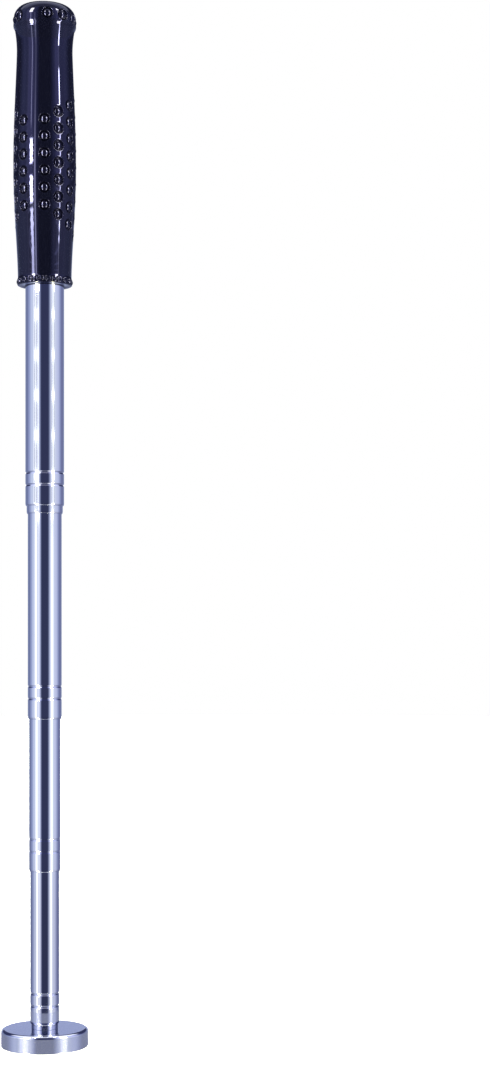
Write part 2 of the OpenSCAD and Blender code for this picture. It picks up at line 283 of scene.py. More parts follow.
# %% Floor and plate
FLOOR_DROP = 0.02 * MM
FLOOR_R = 3.0
PLATE_R = 80 * MM
SHEET_GLOW = 0.82
SHEET_COLOUR = (0.85, 0.85, 0.85, 1)
PLATE_GLOW = (0.21, 0.225, 0.30, 1)
PLATE_GLOSS = (0.46, 0.47, 0.44, 1)
PLATE_ROUGHNESS = 0.12
floor_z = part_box("magnet_cup")[0].z - FLOOR_DROP


def stage_disc(name, size, shader_nodes):
    """A flat disc under the tool with its own node tree."""
    bpy.ops.object.select_all(action="DESELECT")
    place = (0, 0, floor_z)
    bpy.ops.mesh.primitive_circle_add(vertices=96, radius=size, fill_type="NGON", location=place)
    disc = bpy.context.object
    disc.name = name
    material = bpy.data.materials.new(name)
    material.use_nodes = True
    material.node_tree.nodes.clear()
    shader = shader_nodes(material.node_tree)
    node(material.node_tree, "ShaderNodeOutputMaterial", {"Surface": shader.outputs[0]})
    disc.data.materials.append(material)
    disc.visible_shadow = False
    return disc


def white_sheet(tree):
    """The shader of the sheet that the camera sees."""
    glow = node(tree, "ShaderNodeEmission", {"Color": (1, 1, 1, 1), "Strength": SHEET_GLOW})
    matt = node(tree, "ShaderNodeBsdfDiffuse", {"Color": SHEET_COLOUR})
    return node(tree, "ShaderNodeAddShader", {0: glow.outputs[0], 1: matt.outputs[0]})


def glossy_plate(tree):
    """The shader of the plate that the chrome sees."""
    glow = node(tree, "ShaderNodeEmission", {"Color": PLATE_GLOW, "Strength": 1.0})
    gloss = node(tree, "ShaderNodeBsdfGlossy", {"Color": PLATE_GLOSS, "Roughness": PLATE_ROUGHNESS})
    return node(tree, "ShaderNodeAddShader", {0: glow.outputs[0], 1: gloss.outputs[0]})


floor = stage_disc("floor", FLOOR_R, white_sheet)
floor.visible_glossy = False
plate = stage_disc("plate", PLATE_R, glossy_plate)
plate.visible_camera = False
plate.visible_diffuse = False
print("floor at", round(floor_z / MM, 2), "mm")

# %% [markdown]
# ## Lamp cards beside the grip
#
# Four lamps stand close to the grip and so high that the tubes don't see them. They draw its
# long glints: a ragged patch and streak on the left with a line and a thread beside it, and a
# dashed line on the right. Each is a card whose light changes with its height. The ragged ones
# are eaten away from their edges by a noise. Only reflections see a card, and light passes
# through it.

# %% Lamp cards
CARD_AWAY = 150 * MM
CARD_LOW, CARD_HIGH = 336, 475
CARD_SCALE = 90.0
CARD_COLOUR = (1, 0.99, 0.75, 1)
WRINKLES = (1.6, 30, 1)
TORN_EDGE = (0.06, 0.12)


def card_light(tree, levels, ragged):
    """How strongly the card glows at each point; levels are (height in mm, light)."""
    on_card = node(tree, "ShaderNodeTexCoord").outputs["Object"]
    sideways, upwards, _ = node(tree, "ShaderNodeSeparateXYZ", {0: on_card}).outputs
    share = maths(tree, "ADD", upwards, 0.5)
    tall = CARD_HIGH - CARD_LOW
    stops = [((z - CARD_LOW) / tall, [light / CARD_SCALE] * 3) for z, light in levels]
    light = maths(tree, "MULTIPLY", ramp(tree, share, stops), CARD_SCALE)
    wrinkled = node(tree, "ShaderNodeMapping", {"Vector": on_card, "Scale": WRINKLES}).outputs[0]
    noise = {"Vector": wrinkled, "Scale": 1.5, "Detail": 3.0}
    torn = node(tree, "ShaderNodeTexNoise", noise).outputs["Fac"]
    from_middle = maths(tree, "MULTIPLY", maths(tree, "ABSOLUTE", sideways), ragged)
    left_over = steps_between(tree, maths(tree, "SUBTRACT", torn, from_middle), *TORN_EDGE)
    return maths(tree, "MULTIPLY", light, left_over)


def lamp_card(name, azimuths, levels, ragged):
    """A glowing card between two azimuths, from CARD_LOW to CARD_HIGH."""
    middle = math.radians(sum(azimuths) / 2) - math.pi / 2 + view_azimuth
    width = math.radians(azimuths[1] - azimuths[0]) * CARD_AWAY
    tall = (CARD_HIGH - CARD_LOW) * MM
    centre = (CARD_AWAY * math.cos(middle), CARD_AWAY * math.sin(middle), CARD_LOW * MM + tall / 2)
    upright = (math.pi / 2, 0, middle + math.pi / 2)
    bpy.ops.object.select_all(action="DESELECT")
    bpy.ops.mesh.primitive_plane_add(size=1, location=centre, rotation=upright)
    card = bpy.context.object
    card.name = name
    card.scale = (width, tall, 1)
    material = bpy.data.materials.new(name)
    material.use_nodes = True
    tree = material.node_tree
    tree.nodes.clear()
    glow = {"Color": CARD_COLOUR, "Strength": card_light(tree, levels, ragged)}
    glow = node(tree, "ShaderNodeEmission", glow).outputs[0]
    clear = node(tree, "ShaderNodeBsdfTransparent").outputs[0]
    both = node(tree, "ShaderNodeAddShader", {0: glow, 1: clear}).outputs[0]
    node(tree, "ShaderNodeOutputMaterial", {"Surface": both})
    card.data.materials.append(material)
    card.visible_camera = False
    card.visible_diffuse = False
    card.visible_shadow = False


LEFT_PATCH = [
    (336, 18), (346, 30), (360, 40), (362, 2), (364, 2), (366, 90), (384, 90),
    (386, 0), (394, 0), (396, 90), (411, 90), (413, 0), (475, 0),
]
LEFT_LINE = [(336, 8), (400, 8), (420, 4), (445, 2), (475, 1)]
LEFT_THREAD = [(336, 0), (418, 0), (424, 9), (475, 9)]
RIGHT_DASHES = [
    (336, 3), (344, 4), (346, 60), (348, 4), (352, 70), (357, 60), (361, 30),
    (425, 45), (438, 85), (452, 85), (454, 1), (463, 1), (465, 60), (475, 85),
]
CARDS = [
    ("left patch lamp", (-55.5, -41.5), LEFT_PATCH, 1.05),
    ("left line lamp", (-38, -32.5), LEFT_LINE, 0.0),
    ("left thread lamp", (-51.5, -49), LEFT_THREAD, 0.0),
    ("right dashed lamp", (55.2, 58.8), RIGHT_DASHES, 0.8),
]
for card_facts in CARDS:
    lamp_card(*card_facts)
print(len(CARDS), "cards,", round(CARD_AWAY / MM), "mm from the tool's axis")

# %% [markdown]
# ## Finishes
#
# Every finish starts from the same few nodes: a base colour that drifts a little, a roughness
# that drifts too, and a fine bump. What differs is their scale and how far they are stretched:
# a drawn tube is streaked along its length, a turned face has rings, a moulding has an even
# grain. Patterns read Object coordinates, which are metres here.

# %% Finish helper
CLOUDS = 60.0
NOISE_SPAN = (0.3, 0.7)


def finish(name, dark, light, rough, metal, grain, stretch, bump, depth, tint=(1, 1, 1)):
    """A procedural finish. rough is the (lowest, highest) roughness and depth is in millimetres."""
    material = bpy.data.materials.new(name)
    material.use_nodes = True
    tree = material.node_tree
    shader = tree.nodes["Principled BSDF"]
    place = node(tree, "ShaderNodeTexCoord").outputs["Object"]
    laid = node(tree, "ShaderNodeMapping", {"Vector": place, "Scale": stretch}).outputs[0]
    cloud = node(tree, "ShaderNodeTexNoise", {"Vector": laid, "Scale": CLOUDS, "Detail": 3.0})
    fine = node(tree, "ShaderNodeTexNoise", {"Vector": laid, "Scale": grain, "Detail": 4.0})
    colour = blend_colours(tree, cloud.outputs["Fac"], (*dark, 1), (*light, 1))
    tree.links.new(colour, shader.inputs["Base Color"])
    spread = {"Value": fine.outputs["Fac"], "From Min": NOISE_SPAN[0], "From Max": NOISE_SPAN[1],
              "To Min": rough[0], "To Max": rough[1]}
    tree.links.new(node(tree, "ShaderNodeMapRange", spread).outputs[0], shader.inputs["Roughness"])
    relief = {"Height": fine.outputs["Fac"], "Strength": bump, "Distance": depth * MM}
    tree.links.new(node(tree, "ShaderNodeBump", relief).outputs[0], shader.inputs["Normal"])
    shader.inputs["Metallic"].default_value = metal
    shader.inputs["Specular Tint"].default_value = (*tint, 1)
    return material


EVEN = (1, 1, 1)
ALONG_Z = (1, 1, 0.03)
ROUND_Z = (0.05, 0.05, 1)
# each finish: dark and light colour, roughness, metal, grain, stretch, bump and its depth
chromed_tube = finish("chromed_tube", (0.78, 0.80, 0.87), (0.83, 0.85, 0.91), (0.02, 0.05), 1.0,
                      2600, ALONG_Z, 0.12, 0.0004)
chromed_cup = finish("chromed_cup", (0.77, 0.79, 0.86), (0.83, 0.85, 0.91), (0.05, 0.10), 1.0,
                     1600, (1, 1, 0.5), 0.25, 0.001)
chromed_collar = finish("chromed_collar", (0.58, 0.60, 0.66), (0.66, 0.68, 0.74), (0.05, 0.10), 1.0,
                        2600, ROUND_Z, 0.2, 0.001)
ferrite = finish("ferrite", (0.030, 0.030, 0.034), (0.060, 0.060, 0.066), (0.42, 0.62), 0.0,
                 1400, EVEN, 0.5, 0.03)
resin = finish("resin", (0.010, 0.010, 0.013), (0.022, 0.022, 0.026), (0.12, 0.26), 0.0,
               400, EVEN, 0.3, 0.04)
brass_sleeve = finish("brass_sleeve", (0.62, 0.43, 0.17), (0.74, 0.54, 0.25), (0.18, 0.30), 1.0,
                      2200, ALONG_Z, 0.3, 0.004)
zinc_screw = finish("zinc_screw", (0.52, 0.54, 0.57), (0.66, 0.68, 0.70), (0.22, 0.36), 1.0,
                    1800, EVEN, 0.3, 0.006)
spring_steel = finish("spring_steel", (0.30, 0.31, 0.33), (0.42, 0.43, 0.45), (0.26, 0.40), 1.0,
                      1800, EVEN, 0.3, 0.006)
turned_steel = finish("turned_steel", (0.44, 0.45, 0.47), (0.56, 0.57, 0.60), (0.20, 0.34), 1.0,
                      2400, ROUND_Z, 0.4, 0.006)
spring_brass = finish("spring_brass", (0.60, 0.42, 0.16), (0.72, 0.53, 0.24), (0.20, 0.34), 1.0,
                      1800, EVEN, 0.3, 0.004)
natural_nylon = finish("natural_nylon", (0.70, 0.68, 0.60), (0.80, 0.78, 0.71), (0.34, 0.48), 0.0,
                       900, EVEN, 0.2, 0.02)
black_plug = finish("black_plug", (0.012, 0.012, 0.013), (0.022, 0.022, 0.024), (0.38, 0.52), 0.0,
                    900, EVEN, 0.2, 0.02)
soft_vinyl = finish("soft_vinyl", (0.0010, 0.0011, 0.0032), (0.0018, 0.0020, 0.0055), (0.012, 0.04), 0.0,
                    420, EVEN, 0.15, 0.004, tint=(0.44, 0.45, 1.0))
print(len(bpy.data.materials), "materials")

# %% [markdown]
# ## Keeping a tidy bench
#
# Blender's operators act on whatever is selected, and loading the frame leaves its nodes
# selected. So every step starts by letting go of everything. A finished piece keeps its object
# at the origin, with its place in its mesh, and gets one finish.

# %% Selecting and finishing a piece
def let_go():
    """Leaves edit mode and selects nothing."""
    if bpy.context.object and bpy.context.object.mode != "OBJECT":
        bpy.ops.object.mode_set(mode="OBJECT")
    bpy.ops.object.select_all(action="DESELECT")


def take(*pieces):
    """Selects the pieces and makes the first the active one."""
    let_go()
    for piece in pieces:
        piece.select_set(True)
    bpy.context.view_layer.objects.active = pieces[0]


def settle(piece, name):
    """Names a piece and moves its place into its mesh."""
    take(piece)
    piece.name = piece.data.name = name
    bpy.ops.object.transform_apply(location=True, rotation=True, scale=True)
    return piece


def fit(piece, body, slot, material, *nodes):
    """The piece rides on a body, gets its finish and stands for CAD nodes; slot is not used."""
    piece.data.materials.clear()
    piece.data.materials.append(material)
    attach(piece, body)
    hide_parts(*nodes)
    print(piece.name, len(piece.data.polygons), "faces, on", body)


def low(name):
    """Height of a CAD node's lowest point, in millimetres."""
    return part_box(name)[0].z / MM


def high(name):
    """Height of a CAD node's highest point, in millimetres."""
    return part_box(name)[1].z / MM


def reach(name):
    """Largest radius of a CAD node, in millimetres."""
    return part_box(name)[1].x / MM


print("mouths of the tubes, mm:", [round(low(f"tube_{n}"), 2) for n in (1, 2, 3, 4)])

# %% [markdown]
# ## Turning on the lathe
#
# Tubes, collar and cup are round, so they are turned. The outline is drawn by extruding one
# vertex from place to place, and Spin carries it round the axis. A Screw modifier would do the
# same, but its seam has to be closed later. A spin's first and last rows lie on each other, so
# doubles are merged at the end, and the normals are made to agree once the shell is closed.
#
# A mirror shows every fault of its normals. Smooth shading blends the slope of a groove into the
# straight wall beside it, so the outline gets a holding point close to each end of a long
# stretch, as a holding loop does in hand modelling.

# %% Lathe
def held(outline, hold=0.08, long=0.6):
    """The outline with a point beside each end of its long stretches, which keeps them flat."""
    points = []
    for (r_from, z_from), (r_to, z_to) in zip(outline, outline[1:] + outline[:1]):
        length = math.hypot(r_to - r_from, z_to - z_from)
        points.append((r_from, z_from))
        if length > long:
            for t in (hold / length, 1 - hold / length):
                points.append((r_from + (r_to - r_from) * t, z_from + (z_to - z_from) * t))
    return points


DOUBLE = 0.002 * MM
SHARP = math.radians(32)


def lathe(name, outline, steps=160):
    """A closed round piece from its outline, a list of (radius, height) in millimetres."""
    outline = held(outline)
    let_go()
    bpy.ops.mesh.primitive_plane_add(size=MM, location=(outline[0][0] * MM, 0, outline[0][1] * MM))
    piece = bpy.context.object
    bpy.ops.object.mode_set(mode="EDIT")
    bpy.ops.mesh.select_mode(type="VERT")
    bpy.ops.mesh.merge(type="CENTER")
    for (r_from, z_from), (r_to, z_to) in zip(outline, outline[1:] + outline[:1]):
        step = ((r_to - r_from) * MM, 0, (z_to - z_from) * MM)
        bpy.ops.mesh.extrude_region_move(TRANSFORM_OT_translate={"value": step})
    bpy.ops.mesh.select_all(action="SELECT")
    bpy.ops.mesh.remove_doubles(threshold=DOUBLE)
    bpy.ops.mesh.spin(steps=steps, angle=2 * math.pi, center=(0, 0, 0), axis=(0, 0, 1))
    bpy.ops.mesh.select_all(action="SELECT")
    bpy.ops.mesh.remove_doubles(threshold=DOUBLE)
    bpy.ops.mesh.normals_make_consistent(inside=False)
    bpy.ops.object.mode_set(mode="OBJECT")
    piece = settle(piece, name)
    bpy.ops.object.shade_smooth_by_angle(angle=SHARP)
    return piece


def groove(r, z, depth, width=1.3, steps=14):
    """A rolled groove in a wall of radius r, centred at height z."""
    turns = [i / steps for i in range(steps + 1)]
    return [(r - depth * (1 - math.cos(2 * math.pi * t)) / 2, z + width * (t - 0.5)) for t in turns]


def turned_in(r, z, inwards, upwards, steps=8):
    """A tube's end, turned in: a quarter ellipse from the lip up to the wall."""
    angles = [math.pi / 2 * i / steps for i in range(steps + 1)]
    return [(r - inwards + inwards * math.sin(a), z + upwards - upwards * math.cos(a)) for a in angles]


GROOVE_PITCH = 5.1
SLIDE_GAP = 0.07
print("lathe ready, grooves", GROOVE_PITCH, "mm apart, tubes slide with", SLIDE_GAP, "mm of play")

# %% [markdown]
# ## Tube 1
#
# The widest tube carries the grip. Its mouth is necked down in two steps onto tube 2, and two
# rolled grooves above it hold the nylon bush. The wall has an inside too, because the joints
# slide the other tubes into it.

# %% Tube 1
r_1, r_2, r_3, r_4 = (reach(f"tube_{n}") for n in (1, 2, 3, 4))
mouth_1, mouth_2, mouth_3, foot = (low(f"tube_{n}") for n in (1, 2, 3, 4))
WALL_1 = 0.4
NECK_R = 7.48
NECK_H = 3.2
NECK_LIP = (0.3, 1.1)
NECK_INSIDE = NECK_H + 0.2
CONE_INSIDE = 4.4
FIRST_GROOVE_1 = 11.8
GROOVE_1 = 0.36
GROOVE_THINS_1 = 0.06
TOP_TRAVEL = 80.5
STOP_PLAY = 0.15
STOP_DEPTH, STOP_WIDTH = 0.5, 1.6
grooves_1 = (mouth_1 + FIRST_GROOVE_1, mouth_1 + FIRST_GROOVE_1 + GROOVE_PITCH)
stop_z = high("tail_plug") + TOP_TRAVEL + STOP_PLAY + STOP_WIDTH / 2
outside_1 = turned_in(NECK_R, mouth_1, *NECK_LIP) + turned_in(r_1, mouth_1 + NECK_H, r_1 - NECK_R, 1)
for z in grooves_1:
    outside_1 += groove(r_1, z, GROOVE_1)
outside_1 += groove(r_1, stop_z, STOP_DEPTH, STOP_WIDTH) + [(r_1, high("tube_1"))]
bore_1 = r_1 - WALL_1
neck_1 = r_2 + SLIDE_GAP
inside_1 = [(neck_1, mouth_1), (neck_1, mouth_1 + NECK_INSIDE), (bore_1, mouth_1 + CONE_INSIDE)]
for z in grooves_1:
    inside_1 += groove(bore_1, z, GROOVE_1 - GROOVE_THINS_1)
inside_1 += groove(bore_1, stop_z, STOP_DEPTH, STOP_WIDTH) + [(bore_1, high("tube_1"))]
tube_1 = lathe("tube_1_chromed", outside_1 + inside_1[::-1])
fit(tube_1, "handle", "chromed_tube", chromed_tube, "tube_1")

# %% [markdown]
# ## Tubes 2, 3 and 4
#
# Each of these has a lip turned in at its mouth and a pair of shallow rolled grooves above it.
# Tubes 3 and 4 end in a drawn-down tail that carries the brass friction shells. Tube 2 ends on
# the flange of its nylon plug. So one function draws the mouth of tubes 2 and 3, and another
# the tail of tubes 3 and 4. Both give the outer and the inner wall, from below upwards.

# %% Mouths and tails
LIP_2_3 = (0.32, 1)
THROAT_H, THROAT_TOP = 0.6, 1.2
TAIL_STEP = 0.25
TAIL_SHOULDER = 0.2
SHELL_PLAY = 0.05
LIP_H = 1


def mouth_walls(r, bore, throat, mouth, first_groove, depth):
    """A mouth with a narrow throat, and the grooves above it, which reach in to the throat."""
    outside = turned_in(r, mouth, *LIP_2_3)
    inside = [(throat, mouth), (throat, mouth + THROAT_H), (bore, mouth + THROAT_TOP)]
    for z in (mouth + first_groove, mouth + first_groove + GROOVE_PITCH):
        outside += groove(r, z, depth)
        inside += groove(bore, z, bore - throat)
    return outside, inside


def tail_walls(r, bore, lip_r, seat, top):
    """A tail drawn down above its seat, with a lip round its end that holds the shells."""
    outside = [(r, seat - TAIL_SHOULDER), (r - TAIL_STEP, seat), (r - TAIL_STEP, top - LIP_H)]
    outside += [(lip_r, top - LIP_H), (lip_r, top)]
    inside = [(bore, seat - TAIL_SHOULDER), (bore - TAIL_STEP, seat), (bore - TAIL_STEP, top)]
    return outside, inside


print("tails drawn down by", TAIL_STEP, "mm")

# %% Tube 2
WALL_2 = 0.3
FIRST_GROOVE_2 = 8.4
GROOVE_2 = 0.24
PLUG_FLANGE = 1.0
PLUG_GROOVE_DOWN = 6
PLUG_GROOVE = 0.25
seat_2 = low("friction_shell_2_left") - (PLUG_FLANGE + SHELL_PLAY)
bore_2 = r_2 - WALL_2
outside_2, inside_2 = mouth_walls(r_2, bore_2, r_3 + SLIDE_GAP, mouth_2, FIRST_GROOVE_2, GROOVE_2)
for wall, radius in ((outside_2, r_2), (inside_2, bore_2)):
    wall += groove(radius, seat_2 - PLUG_GROOVE_DOWN, PLUG_GROOVE) + [(radius, seat_2)]
tube_2 = lathe("tube_2_chromed", outside_2 + inside_2[::-1])
fit(tube_2, "section_2", "chromed_tube", chromed_tube, "tube_2")

# %% Tube 3
WALL_3 = 0.3
FIRST_GROOVE_3 = 8.2
GROOVE_3 = 0.15
LIP_3_DROP = 0.08
bore_3 = r_3 - WALL_3
seat_3 = low("friction_shell_3_left") - SHELL_PLAY
outside_3, inside_3 = mouth_walls(r_3, bore_3, r_4 + SLIDE_GAP, mouth_3, FIRST_GROOVE_3, GROOVE_3)
tail_3 = tail_walls(r_3, bore_3, r_3 - LIP_3_DROP, seat_3, high("tube_3"))
outside_3 += tail_3[0]
inside_3 += tail_3[1]
tube_3 = lathe("tube_3_chromed", outside_3 + inside_3[::-1])
fit(tube_3, "section_3", "chromed_tube", chromed_tube, "tube_3")

# %% Tube 4
WALL_4 = 0.4
FIRST_GROOVE_4 = 7.8
GROOVE_4 = 0.34
GROOVE_THINS_4 = 0.04
CURL_IN = 0.8
CURL_UP = 1.3
CURL_INSIDE = CURL_UP + 0.2
LIP_4_PLAY = 0.02
bore_4 = r_4 - WALL_4
seat_4 = low("friction_shell_4_left") - SHELL_PLAY
lip_4_r = bore_3 - TAIL_STEP - SLIDE_GAP - LIP_4_PLAY
outside_4 = turned_in(r_4, foot, CURL_IN, CURL_UP)
inside_4 = turned_in(bore_4, foot, CURL_IN, CURL_INSIDE)
for z in (foot + FIRST_GROOVE_4, foot + FIRST_GROOVE_4 + GROOVE_PITCH):
    outside_4 += groove(r_4, z, GROOVE_4)
    inside_4 += groove(bore_4, z, GROOVE_4 - GROOVE_THINS_4)
tail_4 = tail_walls(r_4, bore_4, lip_4_r, seat_4, high("tube_4"))
outside_4 += tail_4[0]
inside_4 += tail_4[1]
tube_4 = lathe("tube_4_chromed", outside_4 + inside_4[::-1])
fit(tube_4, "magnet_head", "chromed_tube", chromed_tube, "tube_4")

# %% [markdown]
# ## Magnet cup and collar
#
# The cup is a steel pot, pressed and chromed, with a soft upper edge. It is the widest piece and
# stands nearest to the table, so its edge is drawn as a true arc. The collar between cup and
# tube is turned from bar.

# %% Cup and collar
cup_r = reach("magnet_cup")
cup_top = high("magnet_cup")
EDGE_R = 1.3
EDGE_STEPS = 14
BASE_EDGE = 0.3
BASE_EDGE_MIDDLE = 0.09
RESIN_PLAY = 0.02
MAGNET_PLAY = 0.1
HOLE_R = 2.6
CUP_STEPS = 256
cavity_r = reach("resin_ring") + RESIN_PLAY
cavity_top = high("ring_magnet") + MAGNET_PLAY
edge = [math.radians(90 * i / EDGE_STEPS) for i in range(EDGE_STEPS + 1)]
cup_outline = [(cavity_r, 0), (cup_r - BASE_EDGE, 0)]
cup_outline += [(cup_r - BASE_EDGE_MIDDLE, BASE_EDGE_MIDDLE), (cup_r, BASE_EDGE)]
cup_outline += [(cup_r - EDGE_R * (1 - math.cos(a)), cup_top - EDGE_R * (1 - math.sin(a))) for a in edge]
cup_outline += [(HOLE_R, cup_top), (HOLE_R, cavity_top), (cavity_r, cavity_top)]
cup = lathe("magnet_cup_chromed", cup_outline, CUP_STEPS)
fit(cup, "magnet_head", "chromed_cup", chromed_cup, "magnet_cup")

COLLAR_EDGE = 0.12
collar_r = reach("collar")
collar_top = high("collar")
collar_outline = [(HOLE_R, cup_top), (collar_r - COLLAR_EDGE, cup_top), (collar_r, cup_top + COLLAR_EDGE)]
collar_outline += [(collar_r, collar_top - COLLAR_EDGE), (collar_r - COLLAR_EDGE, collar_top)]
collar_outline += [(HOLE_R, collar_top)]
collar = lathe("collar_turned", collar_outline)
fit(collar, "magnet_head", "chromed_collar", chromed_collar, "collar")

# %% [markdown]
# ## The grip's outline
#
# The grip is one soft moulding. Its side is a slim foot above a thin rim, a long belly, a
# waist and a flare into the pommel. The heights are measured from its lower end. One function
# gives the radius at a height, and everything on the grip is laid on it.

# %% Outline of the grip
grip_low = low("grip_sleeve")
grip_high = high("grip_sleeve")
# radii with the heights they are reached at; the crown curves in by EDGE_IN over EDGE_UP
RIM_R, RIM_H = 11.45, 3.2
FOOT_R = 11.1
BELLY_R, BELLY_H = 12.95, 49.0
WAIST_R, WAIST_H = 11.5, 96.9
FLARE_R, FLARE_H = 12.2, 105.2
POMMEL_R, CAP_H = 12.95, 107.4
SHOULDER_H, EDGE_IN, EDGE_UP = 109.9, 5.3, 5.9


def side_radius(h):
    """Radius of the grip's side at height h above its lower end, up to the crown."""
    if h < BELLY_H:
        rise = max(0, h - RIM_H) / (BELLY_H - RIM_H)
        return FOOT_R + (BELLY_R - FOOT_R) * math.sin(math.pi / 2 * rise) ** 1.5
    if h < WAIST_H:
        fall = (WAIST_H - h) / (WAIST_H - BELLY_H)
        return WAIST_R + (BELLY_R - WAIST_R) * math.sin(math.pi / 2 * fall) ** 1.25
    if h < FLARE_H:
        return WAIST_R + (FLARE_R - WAIST_R) * ((h - WAIST_H) / (FLARE_H - WAIST_H)) ** 2
    if h < CAP_H:
        rise = (h - FLARE_H) / (CAP_H - FLARE_H)
        return FLARE_R + (POMMEL_R - FLARE_R) * (1 - math.cos(math.pi * rise)) / 2
    rise = max(0, h - SHOULDER_H) / EDGE_UP
    return POMMEL_R - EDGE_IN * (1 - math.sqrt(max(0, 1 - rise ** 2)))


print("grip from", round(grip_low, 1), "to", round(grip_high, 1), "mm")

# %% [markdown]
# ## One dot of the grip
#
# The grip is covered with small round buttons, each in its own moat with a raised lip. Bump
# alone would not change the outline, so they are modelled. One square of skin is made flat: the
# middle of a grid is cut out, To Sphere makes the hole round, and its edge is extruded and
# scaled inwards, ring after ring. A tile without a dot is the plain grid.

# %% Dot tile
def select_faces(piece, wanted):
    """Selects the faces whose centre passes the test, from object mode."""
    for v in piece.data.vertices:
        v.select = False
    for e in piece.data.edges:
        e.select = False
    for f in piece.data.polygons:
        f.select = wanted(f.center)


def plain_tile(width, length, cells, rows=None):
    """A flat piece of skin in the XY plane, in millimetres."""
    let_go()
    bpy.ops.mesh.primitive_grid_add(x_subdivisions=cells, y_subdivisions=rows or cells, size=MM)
    tile = bpy.context.object
    tile.scale = (width, length, 1)
    return settle(tile, "tile")


A_LITTLE_MORE = 1.01


def dot_tile(width, length, cells, hole, rings):
    """Skin with a dot: hole is the cells across the hole, rings are (radius, height) inwards."""
    tile = plain_tile(width, length, cells)
    half_x = 0.5 * hole / cells * width * MM
    half_y = 0.5 * hole / cells * length * MM
    select_faces(tile, lambda c: abs(c.x) < half_x and abs(c.y) < half_y)
    bpy.ops.object.mode_set(mode="EDIT")
    bpy.ops.mesh.select_mode(type="FACE")
    bpy.ops.mesh.delete(type="FACE")
    bpy.ops.object.mode_set(mode="OBJECT")
    for v in tile.data.vertices:
        v.select = abs(v.co.x) < half_x * A_LITTLE_MORE and abs(v.co.y) < half_y * A_LITTLE_MORE
    bpy.ops.object.mode_set(mode="EDIT")
    bpy.ops.mesh.select_mode(type="VERT")
    bpy.ops.transform.tosphere(value=1)
    bpy.ops.object.mode_set(mode="OBJECT")
    now = max(v.co.length for v in tile.data.vertices if v.select) / MM
    for e in tile.data.edges:
        e.select = all(tile.data.vertices[i].select for i in e.vertices)
    bpy.ops.object.mode_set(mode="EDIT")
    bpy.ops.mesh.select_mode(type="EDGE")
    level = 0
    for number, (radius, height) in enumerate(rings):
        if number:
            bpy.ops.mesh.extrude_region_move()
        size = radius / now
        bpy.ops.transform.resize(value=(size, size, 1), center_override=(0, 0, 0))
        bpy.ops.transform.translate(value=(0, 0, (height - level) * MM))
        now, level = radius, height
    bpy.ops.mesh.extrude_region_move()
    bpy.ops.mesh.merge(type="CENTER")
    bpy.ops.object.mode_set(mode="OBJECT")
    return tile


# rings of a dot, from its moat's lip inwards: (radius, height); the button's top is a dome
MOAT = [
    (2.60, 0.0), (2.50, 0.02), (2.40, -0.04), (2.30, -0.20), (2.16, -0.50),
    (2.02, -0.76), (1.88, -0.86), (1.74, -0.76), (1.64, -0.55), (1.57, -0.40),
]
DOME_R, DOME_TOP = 2.5, 0.22
DOME_RINGS = (1.5, 1.35, 1.15, 0.9, 0.6, 0.3)
DOT_RINGS = MOAT + [(r, DOME_TOP - DOME_R + math.sqrt(DOME_R ** 2 - r ** 2)) for r in DOME_RINGS]
BEAD_RINGS = [
    (1.25, 0.0), (1.14, -0.06), (1.04, -0.26), (0.92, -0.30),
    (0.82, -0.18), (0.74, 0.0), (0.60, 0.10), (0.34, 0.17),
]
DOT_HOLE, BEAD_HOLE = 8, 4
CELLS, BEAD_CELLS = 12, 6

# columns stand at equal angles from the strips; the angles become widths on the flat skin
COLUMN_STEP = 27.43
FIRST_COLUMN = 21.4
STRIP_HALF = FIRST_COLUMN - COLUMN_STEP / 2
ROW_STEP = 7.0
SPREAD_R = 12.95
TO_ARC = math.radians(1) * SPREAD_R
column_w = COLUMN_STEP * TO_ARC
strip_w = 2 * STRIP_HALF * TO_ARC
print("column width", round(column_w, 2), "mm, smooth strip", round(strip_w, 2), "mm")

# %% [markdown]
# ## The skin laid out flat
#
# Two smooth strips run down opposite sides, where the halves of the mould meet. Between them,
# six columns of dots lie on each side, and every second column is shifted by half a row. Away
# from the strip the columns hold 6, 7, 8, 9, 8 and 7 dots. A shifted column starts and ends with
# half a tile, and the grid has an even number of cells, so all the edges meet.

# %% Lay the columns
FIELD_ROWS = 13
COLUMN_DOTS = (6, 7, 8, 9, 8, 7)
SEAM = 0.05 * MM


def lay(tile, x, y):
    """A copy of a tile with its own mesh, moved to (x, y) in millimetres."""
    copy = tile.copy()
    copy.data = tile.data.copy()
    copy.location = (x * MM, y * MM, 0)
    bpy.context.scene.collection.objects.link(copy)
    return copy


def close_seams():
    """Merges the open edges that meet on the piece in hand."""
    bpy.ops.object.mode_set(mode="EDIT")
    bpy.ops.mesh.select_mode(type="VERT")
    bpy.ops.mesh.select_all(action="DESELECT")
    bpy.ops.mesh.select_non_manifold()
    bpy.ops.mesh.remove_doubles(threshold=SEAM)
    bpy.ops.object.mode_set(mode="OBJECT")


def stitch(pieces, name):
    """Joins tiles into one skin and merges the edges that meet."""
    take(*pieces)
    bpy.ops.object.join()
    skin = settle(bpy.context.object, name)
    close_seams()
    return skin


